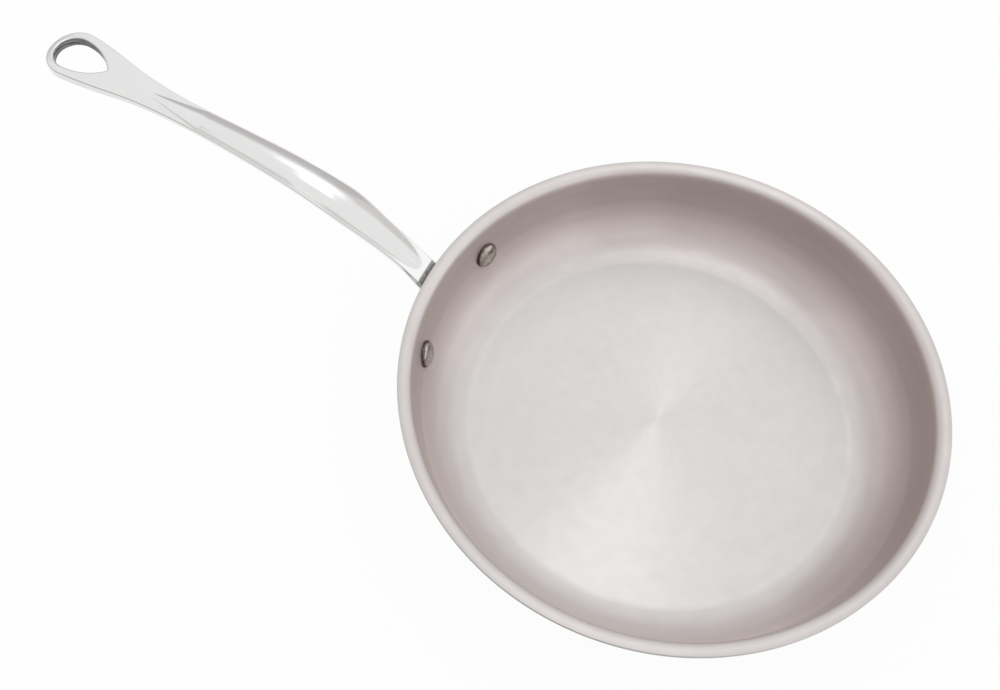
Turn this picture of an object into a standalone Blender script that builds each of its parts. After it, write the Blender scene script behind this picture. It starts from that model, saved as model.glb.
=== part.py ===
"""Frying pan: a pressed three-ply body and a cast handle held by two rivets.

Metres, +Z up. The origin is the centre of the pan's flat underside, and the
handle points along +X. The pan is symmetric about the plane Y = 0.
"""

import math
from collections import namedtuple

import bmesh
import bpy
from mathutils import Matrix, Vector

PAN_NAME = "frying_pan"

# Pan body, measured on the cooking side
RIM_RADIUS = 0.134
RIM_HEIGHT = 0.0494
CORNER_RADIUS = 0.0252
WALL_ANGLE = math.radians(79.5)
LIP_ANGLE = math.radians(8.0)
LIP_FLAT = 0.0025
LIP_BEND = 0.0037

# Laminate, from the cooking side outward
COOKING_PLY = 0.0004
CORE_PLY = 0.0012
OUTER_PLY = 0.0004
BOND_LINE = 0.00005

# Rivets
RIVET_SPACING = 0.0688
RIVET_DROP = 0.0195
RIVET_HEAD_RADIUS = 0.0070
RIVET_HEAD_HEIGHT = 0.0029
RIVET_SHANK_RADIUS = 0.0032
RIVET_TAIL_RADIUS = 0.0052
RIVET_TAIL_HEIGHT = 0.0022
RIVET_HOLE_CLEARANCE = 0.0003
RIVET_SEAT_GAP = 0.0002

# Saddle of the handle, the curved plate that lies on the pan's wall
SADDLE_GAP = 0.0003
SADDLE_THICKNESS = 0.0032
SADDLE_LOBE_RADIUS = 0.0100
SADDLE_EDGE_ROUND = 0.0008
SADDLE_LIP_GAP = 0.0008
SADDLE_BELLY = 0.0016
SADDLE_SHOULDER = 0.0085
SADDLE_FILLET = 0.0065
SADDLE_LOBE_SWEEP = math.radians(100.0)
SADDLE_NECK_DIP = 0.6
SADDLE_FLANK_SAG = 0.65

# Grip of the handle, with the height of its crest below the rim at the root
# and above it at the eye, its half width where a hand holds it, and its depth
# at the root
GRIP_START = 0.0030
ROOT_DROP = 0.0014
EYE_RISE = 0.0597
GRIP_HALF_WIDTH = 0.0100
GRIP_DEPTH = 0.0110
EYE_SIDE_HEIGHT = 0.0036
ROOT_SPREAD = 0.0010
EYE_REACH = 0.2002
END_SLOPE = math.radians(2.0)
EYE_RADIUS = 0.0099
EYE_POINT = 0.0183
EYE_SIDE_WALL = 0.0044
EYE_END_WALL = 0.0032
SCOOP_START = 0.0073
SCOOP_ROUND = 0.0240
SCOOP_EYE_GAP = 0.0209
SCOOP_TAPER = 0.0330
SCOOP_RATIO = 0.42
SCOOP_RIM = 0.0012
SCOOP_LEAST = 0.25

# Shape of the grip at shares of its length: how much of the climb from the
# root to the eye its crest has done, its half width, its depth below the
# crest, the height of its straight side and how far that side spreads, each
# as a share of the size named above, and the squareness of its underside
Section = namedtuple("Section", "place crest half_width depth side spread squareness")
GRIP_SHAPE = (
    Section(0.0, 0.0, 0.77, 1.0, 0.44, 1.0, 2.0),
    Section(0.046, 0.133, 0.78, 0.864, 0.33, 0.2, 2.0),
    Section(0.117, 0.294, 0.84, 0.818, 0.33, 0.0, 2.0),
    Section(0.213, 0.482, 1.0, 0.8, 0.28, 0.0, 2.0),
    Section(0.345, 0.637, 0.925, 0.764, 0.28, 0.0, 2.0),
    Section(0.522, 0.753, 0.775, 0.709, 0.28, 0.0, 2.0),
    Section(0.674, 0.826, 0.705, 0.636, 0.33, 0.0, 2.2),
    Section(0.801, 0.895, 0.85, 0.582, 0.5, 0.0, 2.8),
    Section(0.923, 0.964, 1.27, 0.527, 0.89, 0.0, 4.0),
    Section(1.0, 1.0, 1.43, 0.509, 1.0, 0.0, 4.5),
)

# Fineness of the mesh
TURN_STEPS = 64
CORNER_STEPS = 6
LIP_STEPS = 3
RIVET_STEPS = 24
DOME_STEPS = 5
SCOOP_STEPS = 5
SIDE_STEPS = 3
UNDER_STEPS = 8
GRIP_STEP = 0.0065
END_STEPS = 7
SADDLE_STEPS = 7
SADDLE_FACE_SHARE = 0.5
LINING_STEPS = 4
EYE_STEPS = 8
TOP_POINTS = SCOOP_STEPS + 2
CUTTER_MARGIN = 0.004
MERGE = 0.00001

WALL_THICKNESS = COOKING_PLY + CORE_PLY + OUTER_PLY + 2.0 * BOND_LINE


def clear_scene():
    """Remove what the scene holds."""
    for thing in list(bpy.data.objects):
        bpy.data.objects.remove(thing, do_unlink=True)


def make_collection(name):
    """Return a new collection in the scene."""
    collection = bpy.data.collections.new(name)
    bpy.context.scene.collection.children.link(collection)
    return collection


def make_material(name, colour, roughness, metallic):
    """Return a plain metal material."""
    material = bpy.data.materials.new(name)
    material.use_nodes = True
    shader = material.node_tree.nodes["Principled BSDF"]
    shader.inputs["Base Color"].default_value = (*colour, 1.0)
    shader.inputs["Roughness"].default_value = roughness
    shader.inputs["Metallic"].default_value = metallic
    return material


def link_object(name, mesh, collection, material=None):
    """Return a new object that holds the mesh."""
    thing = bpy.data.objects.new(name, mesh)
    if material is not None:
        mesh.materials.append(material)
    collection.objects.link(thing)
    return thing


def shade_round(thing, angle):
    """Shade smooth, with edges sharper than the angle kept."""
    thing.data.shade_smooth()
    thing.data.set_sharp_from_angle(angle=angle)


# The turned shape of the pan. A surface of the laminate is named by its
# level, which is its distance from the underside through the thickness.


def lip_centre():
    """Return radius and height of the centre that the lip bends round."""
    along_lip = Vector((math.cos(LIP_ANGLE), math.sin(LIP_ANGLE)))
    flat_end = Vector((RIM_RADIUS, RIM_HEIGHT)) - LIP_FLAT * along_lip
    bend = LIP_BEND + WALL_THICKNESS
    return flat_end + bend * Vector((math.sin(LIP_ANGLE), -math.cos(LIP_ANGLE)))


def corner_centre():
    """Return radius and height of the centre of the corner between floor and wall."""
    lean = Vector((math.sin(WALL_ANGLE), -math.cos(WALL_ANGLE)))
    wall_top = lip_centre() - (LIP_BEND + WALL_THICKNESS) * lean
    height = WALL_THICKNESS + CORNER_RADIUS
    wall_foot = height - CORNER_RADIUS * math.cos(WALL_ANGLE)
    run = (wall_top.y - wall_foot) / math.tan(WALL_ANGLE)
    return Vector((wall_top.x - run - CORNER_RADIUS * lean.x, height))


def arc(centre, radius, first, last, steps):
    """Return points of an arc, with angles measured from straight down."""
    points = []
    for step in range(steps + 1):
        angle = first + (last - first) * step / steps
        points.append(centre + radius * Vector((math.sin(angle), -math.cos(angle))))
    return points


def surface_profile(level):
    """Return the turned outline of one level, from the centre to the rim's edge."""
    corner = arc(corner_centre(), CORNER_RADIUS + WALL_THICKNESS - level,
                 0.0, WALL_ANGLE, CORNER_STEPS)
    bend = arc(lip_centre(), -(LIP_BEND + level), WALL_ANGLE, LIP_ANGLE, LIP_STEPS)
    rise = (RIM_RADIUS - bend[-1].x) * math.tan(LIP_ANGLE)
    return [Vector((0.0, level)), *corner, *bend, Vector((RIM_RADIUS, bend[-1].y + rise))]


def outer_radius(height):
    """Return the radius of the pan's outside at a height on its wall or corner."""
    centre = corner_centre()
    radius = CORNER_RADIUS + WALL_THICKNESS
    foot = centre.y - radius * math.cos(WALL_ANGLE)
    if height < foot:
        drop = min(centre.y - height, radius)
        return centre.x + math.sqrt(radius * radius - drop * drop)
    return centre.x + radius * math.sin(WALL_ANGLE) + (height - foot) / math.tan(WALL_ANGLE)


def turned_mesh(name, profile, steps):
    """Return the closed mesh of an outline turned about Z, top pole to bottom pole."""
    mesh = bpy.data.meshes.new(name)
    points = [(point[0], 0.0, point[1]) for point in profile]
    edges = [(index, index + 1) for index in range(len(points) - 1)]
    mesh.from_pydata(points, edges, [])
    holder = bpy.data.objects.new(name, mesh)
    bpy.context.scene.collection.objects.link(holder)
    screw = holder.modifiers.new("Turn", "SCREW")
    screw.axis = "Z"
    screw.steps = steps
    screw.render_steps = steps
    screw.use_merge_vertices = True
    screw.merge_threshold = MERGE
    graph = bpy.context.evaluated_depsgraph_get()
    solid = bpy.data.meshes.new_from_object(holder.evaluated_get(graph))
    bpy.data.objects.remove(holder, do_unlink=True)
    bpy.data.meshes.remove(mesh)
    solid.name = name
    return solid


def make_ply(name, bottom, top, collection, material):
    """Return one ply of the laminate between two levels."""
    profile = surface_profile(top) + surface_profile(bottom)[::-1]
    ply = link_object(name, turned_mesh(name, profile, TURN_STEPS), collection, material)
    shade_round(ply, math.radians(30.0))
    return ply


# Rivets. Each one has its own frame: the origin on the cooking surface, with
# Z square to the wall and into the pan.


def rivet_height():
    """Return the height of the rivets' axes on the cooking surface."""
    return RIM_HEIGHT - RIVET_DROP


def cooking_radius(height):
    """Return the radius of the cooking surface on the straight of the wall."""
    centre = corner_centre()
    foot = centre.y - CORNER_RADIUS * math.cos(WALL_ANGLE)
    return centre.x + CORNER_RADIUS * math.sin(WALL_ANGLE) + (height - foot) / math.tan(WALL_ANGLE)


def rivet_angle():
    """Return how far round the pan each rivet is from the handle's plane."""
    return math.asin(0.5 * RIVET_SPACING / cooking_radius(rivet_height()))


def rivet_matrix(side):
    """Return the world matrix of a rivet's frame."""
    radius = cooking_radius(rivet_height())
    place = Matrix.Rotation(side * rivet_angle(), 4, "Z")
    place @= Matrix.Translation((radius, 0.0, rivet_height()))
    return place @ Matrix.Rotation(-WALL_ANGLE, 4, "Y")


def head_seat():
    """Return how far a head's flat seat stands off the wall to clear the wall's hollow."""
    radius = cooking_radius(rivet_height())
    hollow = radius - math.sqrt(radius**2 - RIVET_HEAD_RADIUS**2)
    hollow += radius * (1.0 - math.cos(math.pi / TURN_STEPS))
    centre = corner_centre()
    foot = centre.y - CORNER_RADIUS * math.cos(WALL_ANGLE)
    overhang = foot - rivet_height() + RIVET_HEAD_RADIUS
    if overhang > 0.0:
        hollow += CORNER_RADIUS - math.sqrt(CORNER_RADIUS**2 - overhang**2)
        hollow += CORNER_RADIUS * (1.0 - math.cos(0.5 * WALL_ANGLE / CORNER_STEPS))
    return hollow + RIVET_SEAT_GAP


def rivet_profile():
    """Return the turned outline of a rivet, from its head to its tail."""
    seat = head_seat()
    grip = WALL_THICKNESS + SADDLE_GAP + SADDLE_THICKNESS + RIVET_SEAT_GAP
    head = []
    tail = []
    for step in range(DOME_STEPS + 1):
        angle = 0.5 * math.pi * step / DOME_STEPS
        head.append((RIVET_HEAD_RADIUS * math.sin(angle),
                     seat + RIVET_HEAD_HEIGHT * math.cos(angle)))
        tail.append((RIVET_TAIL_RADIUS * math.cos(angle),
                     -grip - RIVET_TAIL_HEIGHT * math.sin(angle)))
    shank = [(RIVET_SHANK_RADIUS, seat), (RIVET_SHANK_RADIUS, -grip)]
    return head + shank + tail


def make_rivet(name, side, collection, material):
    """Return one rivet in its hole."""
    mesh = turned_mesh(name, rivet_profile(), RIVET_STEPS)
    rivet = link_object(name, mesh, collection, material)
    rivet.matrix_world = rivet_matrix(side)
    shade_round(rivet, math.radians(35.0))
    return rivet


def make_rivet_hole(side, collection):
    """Return the cutter of one rivet's hole through wall and saddle."""
    reach = WALL_THICKNESS + SADDLE_GAP + SADDLE_THICKNESS + 2.0 * CUTTER_MARGIN
    shape = bmesh.new()
    bmesh.ops.create_cone(shape, cap_ends=True, segments=RIVET_STEPS,
                          radius1=RIVET_SHANK_RADIUS + RIVET_HOLE_CLEARANCE,
                          radius2=RIVET_SHANK_RADIUS + RIVET_HOLE_CLEARANCE, depth=reach)
    mesh = bpy.data.meshes.new("rivet_hole")
    shape.to_mesh(mesh)
    shape.free()
    cutter = link_object("rivet_hole", mesh, collection)
    middle = Matrix.Translation((0.0, 0.0, CUTTER_MARGIN - 0.5 * reach))
    cutter.matrix_world = rivet_matrix(side) @ middle
    return cutter


# The cast handle. It is a loft of rings that all have the same points, from
# the middle of the top, round one side to the middle of the underside, and
# back up the other side.


def grip_sections():
    """Return the given sections of the grip in metres, the last at the middle of the eye."""
    rows = []
    for shape in GRIP_SHAPE:
        rows.append(Section(shape.place, shape.crest * (EYE_RISE + ROOT_DROP) - ROOT_DROP,
                            shape.half_width * GRIP_HALF_WIDTH, shape.depth * GRIP_DEPTH,
                            shape.side * EYE_SIDE_HEIGHT, shape.spread * ROOT_SPREAD,
                            shape.squareness))
    rows[-1] = rows[-1]._replace(half_width=EYE_RADIUS + EYE_SIDE_WALL)
    return rows


def blend_sections(place):
    """Return the section of the grip at a place, on a smooth curve through the given ones."""
    rows = grip_sections()
    last = len(rows) - 1
    index = max(i for i in range(last) if rows[i].place <= place)
    start, end = rows[index], rows[index + 1]
    before, after = rows[max(index - 1, 0)], rows[min(index + 2, last)]
    span = end.place - start.place
    t = (place - start.place) / span
    values = []
    for column in range(1, len(start)):
        slope_in = (end[column] - before[column]) / (end.place - before.place) * span
        slope_out = (after[column] - start[column]) / (after.place - start.place) * span
        values.append((2 * t**3 - 3 * t**2 + 1) * start[column]
                      + (t**3 - 2 * t**2 + t) * slope_in
                      + (3 * t**2 - 2 * t**3) * end[column]
                      + (t**3 - t**2) * slope_out)
    return Section(place, *values)


def reach_of(section):
    """Return how far a section is beyond the lip."""
    return GRIP_START + (EYE_REACH - GRIP_START) * section.place


def scoop_fill(reach):
    """Return how full the scoop is at a reach: 0 outside it and 1 along its middle."""
    tip = EYE_REACH - EYE_POINT - SCOOP_EYE_GAP
    if reach <= SCOOP_START or reach >= tip:
        return 0.0
    from_round = min((reach - SCOOP_START) / SCOOP_ROUND, 1.0)
    from_tip = min((tip - reach) / SCOOP_TAPER, 1.0)
    return math.sqrt(1.0 - (1.0 - from_round) ** 2) * from_tip


def grip_half(section):
    """Return half a section as side and height pairs, from the top round to the underside."""
    fill = scoop_fill(reach_of(section))
    flat = section.half_width - SCOOP_RIM
    inner = flat * (SCOOP_LEAST + (1.0 - SCOOP_LEAST) * fill)
    depth = SCOOP_RATIO * inner * fill
    crest = RIM_HEIGHT + section.crest
    points = []
    for step in range(SCOOP_STEPS + 1):
        share = step / SCOOP_STEPS
        points.append((inner * share, crest - depth * (1.0 - share * share)))
    points.append((section.half_width, crest))
    for step in range(1, SIDE_STEPS + 1):
        share = step / SIDE_STEPS
        points.append((section.half_width + section.spread * share, crest - section.side * share))
    width = section.half_width + section.spread
    drop = section.depth - section.side
    power = 2.0 / section.squareness
    for step in range(1, UNDER_STEPS + 1):
        angle = 0.5 * math.pi * step / UNDER_STEPS
        across = width * max(math.cos(angle), 0.0) ** power if step < UNDER_STEPS else 0.0
        points.append((across, crest - section.side - drop * math.sin(angle) ** power))
    return points


def whole_ring(half):
    """Return a full ring of points from its half on the +Y side."""
    other = [Vector((point.x, -point.y, point.z)) for point in half[-2:0:-1]]
    return half + other


def grip_ring(section):
    """Return the ring of points of one section of the grip."""
    x = RIM_RADIUS + reach_of(section)
    return whole_ring([Vector((x, side, height)) for side, height in grip_half(section)])


def end_section(angle):
    """Return a section of the round end, at an angle round it from its widest place."""
    widest = grip_sections()[-1]
    run = (EYE_RADIUS + EYE_END_WALL) * math.sin(angle)
    return widest._replace(place=1.0 + run / (EYE_REACH - GRIP_START),
                           crest=widest.crest + run * math.tan(END_SLOPE),
                           half_width=widest.half_width * math.cos(angle))


def saddle_radius():
    """Return the radius that lengths round the saddle are measured on."""
    return outer_radius(rivet_height()) + SADDLE_GAP + SADDLE_THICKNESS


def on_wall(along, height, lift):
    """Return the point over the pan's wall at a length round it, a height and a lift."""
    angle = along / saddle_radius()
    radius = outer_radius(height) + SADDLE_GAP + lift
    return Vector((radius * math.cos(angle), radius * math.sin(angle), height))


def halfway(first, second, sag):
    """Return a point halfway along from one to another, with a share of the drop done."""
    return 0.5 * (first[0] + second[0]), first[1] + (second[1] - first[1]) * sag


def saddle_half():
    """Return half the saddle's outline as length and height pairs, like grip_half.

    It runs along the top to the shoulder, dips to the lobe, goes round the
    lobe, and comes back along the flank to the middle of the belly.
    """
    neck = grip_half(grip_sections()[0])
    top = lip_centre().y + LIP_BEND * math.cos(WALL_ANGLE) - SADDLE_LIP_GAP
    along_lobe = saddle_radius() * rivet_angle()
    spread = SADDLE_SHOULDER / grip_sections()[0].half_width
    shoulder = [(side * spread, top) for side, _ in neck[:TOP_POINTS]]
    belly = (0.0, rivet_height() - SADDLE_LOBE_RADIUS - SADDLE_BELLY)
    single_points = 3
    steps = len(neck) - TOP_POINTS - single_points - 1
    lobe = []
    for step in range(steps + 1):
        angle = SADDLE_LOBE_SWEEP * (1.0 - 2.0 * step / steps)
        lobe.append((along_lobe + SADDLE_LOBE_RADIUS * math.cos(angle),
                     rivet_height() + SADDLE_LOBE_RADIUS * math.sin(angle)))
    dip = halfway(shoulder[-1], lobe[0], SADDLE_NECK_DIP)
    flank = halfway(lobe[-1], belly, SADDLE_FLANK_SAG)
    return [*shoulder, dip, *lobe, flank, belly]


def scaled_outline(half, along_share, height_share):
    """Return an outline drawn in toward its middle height."""
    middle = 0.5 * (half[0][1] + half[-1][1])
    return [(along * along_share, middle + (height - middle) * height_share)
            for along, height in half]


def root_ring(outline, share):
    """Return a ring between the saddle's outline and the start of the grip.

    At share 0 it is the outline on the saddle's face, then the foot of the
    fillet, and at share 1 the first section of the grip.
    """
    neck = grip_half(grip_sections()[0])
    x = RIM_RADIUS + GRIP_START
    middle = 0.5 * (neck[0][1] + neck[-1][1])
    half = []
    for index, ((along, height), (side, neck_height)) in enumerate(zip(outline, neck)):
        edge = on_wall(along, height, SADDLE_THICKNESS)
        goal = Vector((x, side, neck_height))
        if index < TOP_POINTS:
            half.append(edge.lerp(goal, share))
            continue
        reach = Vector((side, neck_height - middle))
        reach += reach.normalized() * SADDLE_FILLET
        foot = on_wall(reach.x, middle + reach.y, SADDLE_THICKNESS)
        if share <= SADDLE_FACE_SHARE:
            t = share / SADDLE_FACE_SHARE
            across = along + (reach.x - along) * t
            level = height + (middle + reach.y - height) * t
            half.append(on_wall(across, level, SADDLE_THICKNESS))
            continue
        t = (share - SADDLE_FACE_SHARE) / (1.0 - SADDLE_FACE_SHARE)
        corner = on_wall(side, neck_height, SADDLE_THICKNESS)
        half.append(foot * (1.0 - t) ** 2 + corner * 2.0 * t * (1.0 - t) + goal * t * t)
    return whole_ring(half)


def handle_rings():
    """Return the rings of the handle, from the saddle's back to the round end."""
    outline = saddle_half()
    longest = max(along for along, _ in outline)
    tallest = 0.5 * (outline[0][1] - outline[-1][1])
    inset = scaled_outline(outline, 1.0 - SADDLE_EDGE_ROUND / longest,
                           1.0 - SADDLE_EDGE_ROUND / tallest)
    rings = []
    for step in range(1, LINING_STEPS + 1):
        lining = scaled_outline(outline, step / LINING_STEPS, step / LINING_STEPS)
        rings.append(whole_ring([on_wall(along, height, 0.0) for along, height in lining]))
    edge = SADDLE_THICKNESS - SADDLE_EDGE_ROUND
    rings.append(whole_ring([on_wall(along, height, edge) for along, height in outline]))
    rings += [root_ring(inset, step / SADDLE_STEPS) for step in range(SADDLE_STEPS)]
    length = EYE_REACH - GRIP_START
    count = round(length / GRIP_STEP)
    for step in range(count):
        rings.append(grip_ring(blend_sections(step / count)))
    for step in range(END_STEPS):
        rings.append(grip_ring(end_section(0.5 * math.pi * step / END_STEPS)))
    return rings


def handle_mesh(rings):
    """Return the closed mesh through rings of points, with a centre point on the saddle's back."""
    shape = bmesh.new()
    layers = [[shape.verts.new(point) for point in ring] for ring in rings]
    count = len(layers[0])
    for lower, upper in zip(layers, layers[1:]):
        for index in range(count):
            after = (index + 1) % count
            shape.faces.new((lower[index], lower[after], upper[after], upper[index]))
    middle = sum((vert.co for vert in layers[0]), Vector()) / count
    radius = outer_radius(middle.z) + SADDLE_GAP
    centre = shape.verts.new((radius, 0.0, middle.z))
    for index in range(count):
        shape.faces.new((layers[0][(index + 1) % count], layers[0][index], centre))
    shape.faces.new(layers[-1])
    bmesh.ops.recalc_face_normals(shape, faces=shape.faces)
    mesh = bpy.data.meshes.new("handle")
    shape.to_mesh(mesh)
    shape.free()
    return mesh


def eye_outline():
    """Return the teardrop of the hanging eye, round toward the end of the handle."""
    bow = (EYE_POINT**2 + EYE_RADIUS**2) / (2.0 * EYE_RADIUS)
    sweep = math.asin(EYE_POINT / bow)
    side = []
    for step in range(EYE_STEPS + 1):
        angle = sweep * (1.0 - step / EYE_STEPS)
        side.append((-bow * math.sin(angle), bow * math.cos(angle) - bow + EYE_RADIUS))
    for step in range(1, EYE_STEPS + 1):
        angle = 0.5 * math.pi * step / EYE_STEPS
        side.append((EYE_RADIUS * math.sin(angle), EYE_RADIUS * math.cos(angle)))
    side[-1] = (EYE_RADIUS, 0.0)
    side[0] = (-EYE_POINT, 0.0)
    return side + [(x, -y) for x, y in side[-2:0:-1]]


def make_eye_cutter(collection):
    """Return the cutter of the hanging eye."""
    section = grip_sections()[-1]
    low = RIM_HEIGHT + section.crest - section.depth - 2.0 * CUTTER_MARGIN
    high = RIM_HEIGHT + section.crest + 2.0 * CUTTER_MARGIN
    shape = bmesh.new()
    verts = [shape.verts.new((x, y, low)) for x, y in eye_outline()]
    floor = shape.faces.new(verts)
    lifted = bmesh.ops.extrude_face_region(shape, geom=[floor])["geom"]
    raised = [item for item in lifted if isinstance(item, bmesh.types.BMVert)]
    bmesh.ops.translate(shape, verts=raised, vec=(0.0, 0.0, high - low))
    bmesh.ops.recalc_face_normals(shape, faces=shape.faces)
    mesh = bpy.data.meshes.new("eye_cutter")
    shape.to_mesh(mesh)
    shape.free()
    cutter = link_object("eye_cutter", mesh, collection)
    cutter.location.x = RIM_RADIUS + EYE_REACH
    return cutter


def cut(thing, cutter):
    """Cut one shape out of another."""
    boolean = thing.modifiers.new("Cut " + cutter.name, "BOOLEAN")
    boolean.operation = "DIFFERENCE"
    boolean.solver = "EXACT"
    boolean.object = cutter


def main():
    """Build the frying pan."""
    clear_scene()
    pan = make_collection(PAN_NAME)
    cutters = make_collection("cutters")
    steel = make_material("brushed_steel", (0.60, 0.57, 0.55), 0.30, 1.0)
    core = make_material("aluminium", (0.74, 0.74, 0.75), 0.42, 1.0)
    base = make_material("base_steel", (0.58, 0.57, 0.56), 0.34, 1.0)
    cast = make_material("polished_cast_steel", (0.72, 0.72, 0.71), 0.16, 1.0)
    rivet_steel = make_material("rivet_steel", (0.52, 0.49, 0.47), 0.32, 1.0)

    holes = [make_rivet_hole(side, cutters) for side in (1, -1)]
    eye = make_eye_cutter(cutters)

    core_bottom = OUTER_PLY + BOND_LINE
    core_top = core_bottom + CORE_PLY
    plies = (
        make_ply("outer_ply", 0.0, OUTER_PLY, pan, base),
        make_ply("core_ply", core_bottom, core_top, pan, core),
        make_ply("cooking_ply", core_top + BOND_LINE, WALL_THICKNESS, pan, steel),
    )
    handle = link_object("handle", handle_mesh(handle_rings()), pan, cast)
    shade_round(handle, math.radians(35.0))
    for thing in (*plies, handle):
        for hole in holes:
            cut(thing, hole)
    cut(handle, eye)
    make_rivet("rivet_left", 1, pan, rivet_steel)
    make_rivet("rivet_right", -1, pan, rivet_steel)

    for cutter in (*holes, eye):
        cutter.hide_render = True
        cutter.display_type = "WIRE"


main()
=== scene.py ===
"""Looks of a frying pan: a clad steel body, a cast handle and two rivets in a white studio.

Lengths are in metres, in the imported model's frame: the origin is the centre of the
pan's flat underside, +Z points out of the pan's mouth and +X along the handle.
"""

import logging
import math
from dataclasses import dataclass, field, replace
from enum import IntEnum

import bmesh
import bpy
from mathutils import Matrix, Vector


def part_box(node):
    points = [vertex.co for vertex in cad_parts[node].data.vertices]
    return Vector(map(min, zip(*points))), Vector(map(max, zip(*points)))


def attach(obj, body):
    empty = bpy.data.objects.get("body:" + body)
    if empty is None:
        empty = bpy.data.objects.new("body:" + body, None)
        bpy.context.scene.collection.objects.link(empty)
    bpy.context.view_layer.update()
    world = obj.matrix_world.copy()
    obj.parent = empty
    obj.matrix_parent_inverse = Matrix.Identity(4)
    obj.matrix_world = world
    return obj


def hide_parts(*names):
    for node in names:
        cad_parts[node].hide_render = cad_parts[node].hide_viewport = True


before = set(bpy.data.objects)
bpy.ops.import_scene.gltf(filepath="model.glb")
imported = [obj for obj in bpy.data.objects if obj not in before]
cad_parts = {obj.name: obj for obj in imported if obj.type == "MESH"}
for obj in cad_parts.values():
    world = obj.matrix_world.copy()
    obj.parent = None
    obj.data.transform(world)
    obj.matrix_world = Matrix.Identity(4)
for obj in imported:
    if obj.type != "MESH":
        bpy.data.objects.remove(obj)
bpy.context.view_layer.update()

LOG = logging.getLogger("frying_pan")
BODY = "root"
WELD = 0.000001
FINE_WELD = 0.0000005
CREASE = 40.0
HANDLE_CREASE = 50.0

Colour = tuple[float, float, float]
Stops = tuple[tuple[float, Colour], ...]
WHITE = (1.0, 1.0, 1.0)


class Patch(IntEnum):
    """Where on a piece a face lies, as the index of its finish."""

    MAIN = 0
    END = 1
    EYE_WALL = 2


# Shader nodes


class Board:
    """A node tree with short calls that add nodes and join them."""

    def __init__(self, tree: bpy.types.NodeTree) -> None:
        """Keeps the tree that the nodes go to."""
        self.tree = tree

    def add(self, kind: str, **settings: object) -> bpy.types.Node:
        """Adds a node.

        Args:
            kind: The node's type name.
            **settings: Values of its own properties.

        Returns:
            The new node.
        """
        node = self.tree.nodes.new(kind)
        for name, value in settings.items():
            setattr(node, name, value)
        return node

    def feed(self, socket: bpy.types.NodeSocket, value: object) -> None:
        """Links a socket to an input, or sets the input to a plain value."""
        if isinstance(value, bpy.types.NodeSocket):
            self.tree.links.new(value, socket)
        elif value is not None:
            socket.default_value = value

    def fill(self, node: bpy.types.Node, values: tuple[object, ...]) -> bpy.types.NodeSocket:
        """Feeds a node's inputs in their order and returns its first output."""
        for socket, value in zip(node.inputs, values):
            self.feed(socket, value)
        return node.outputs[0]

    def wire(self, node: bpy.types.Node, values: dict[str, object]) -> bpy.types.NodeSocket:
        """Feeds a node's inputs by name and returns its first output."""
        for name, value in values.items():
            self.feed(node.inputs[name], value)
        return node.outputs[0]

    def math(self, operation: str, *values: object) -> bpy.types.NodeSocket:
        """Returns the result of a Math node on up to three values."""
        return self.fill(self.add("ShaderNodeMath", operation=operation), values)

    def mix(self, share: object, first: object, second: object) -> bpy.types.NodeSocket:
        """Returns a colour between two colours."""
        node = self.add("ShaderNodeMix", data_type="RGBA")
        for index, value in ((0, share), (6, paint(first)), (7, paint(second))):
            self.feed(node.inputs[index], value)
        return node.outputs[2]

    def span(self, value: object, low: object, high: object,
             to_low: float = 0.0, to_high: float = 1.0) -> bpy.types.NodeSocket:
        """Returns a value eased from one range to another."""
        node = self.add("ShaderNodeMapRange", interpolation_type="SMOOTHSTEP")
        return self.fill(node, (value, low, high, to_low, to_high))

    def noise(self, vector: object, scale: float, detail: float = 2.0,
              roughness: float = 0.5) -> bpy.types.NodeSocket:
        """Returns the value of a noise texture on a vector."""
        return self.wire(self.add("ShaderNodeTexNoise"), {
            "Vector": vector, "Scale": scale, "Detail": detail, "Roughness": roughness})

    def ramp(self, value: object, stops: Stops) -> bpy.types.NodeSocket:
        """Returns a colour read from a ramp of stops."""
        node = self.add("ShaderNodeValToRGB")
        node.color_ramp.interpolation = "EASE"
        elements = node.color_ramp.elements
        while len(elements) < len(stops):
            elements.new(0.5)
        for element, (place, colour) in zip(elements, stops):
            element.position = place
            element.color = (*colour, 1.0)
        self.feed(node.inputs[0], value)
        return node.outputs[0]

    def split(self, vector: object) -> bpy.types.NodeOutputs:
        """Returns the three parts of a vector."""
        node = self.add("ShaderNodeSeparateXYZ")
        self.feed(node.inputs[0], vector)
        return node.outputs

    def join(self, *parts: object) -> bpy.types.NodeSocket:
        """Returns a vector made of three parts."""
        return self.fill(self.add("ShaderNodeCombineXYZ"), parts)

    def place(self) -> bpy.types.NodeSocket:
        """Returns the object coordinates of the surface."""
        return self.add("ShaderNodeTexCoord").outputs["Object"]


def paint(value: object) -> object:
    """Returns a colour with its alpha, or the socket it was given."""
    return (*value, 1.0) if isinstance(value, tuple) else value


def new_group(name: str, inputs: dict[str, float], outputs: tuple[str, ...]
              ) -> tuple[Board, bpy.types.NodeOutputs, bpy.types.NodeInputs]:
    """Starts a shader node group that reads a vector and some numbers.

    Args:
        name: The group's name.
        inputs: Name and default of each number that it reads.
        outputs: Names of the numbers that it gives.

    Returns:
        A board to build it on, the sockets it reads and the sockets it gives.
    """
    group = bpy.data.node_groups.new(name, "ShaderNodeTree")
    add_socket = group.interface.new_socket
    add_socket("Vector", in_out="INPUT", socket_type="NodeSocketVector")
    for title, default in inputs.items():
        socket = add_socket(title, in_out="INPUT", socket_type="NodeSocketFloat")
        socket.default_value = default
    for title in outputs:
        add_socket(title, in_out="OUTPUT", socket_type="NodeSocketFloat")
    board = Board(group)
    return board, board.add("NodeGroupInput").outputs, board.add("NodeGroupOutput").inputs


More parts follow.
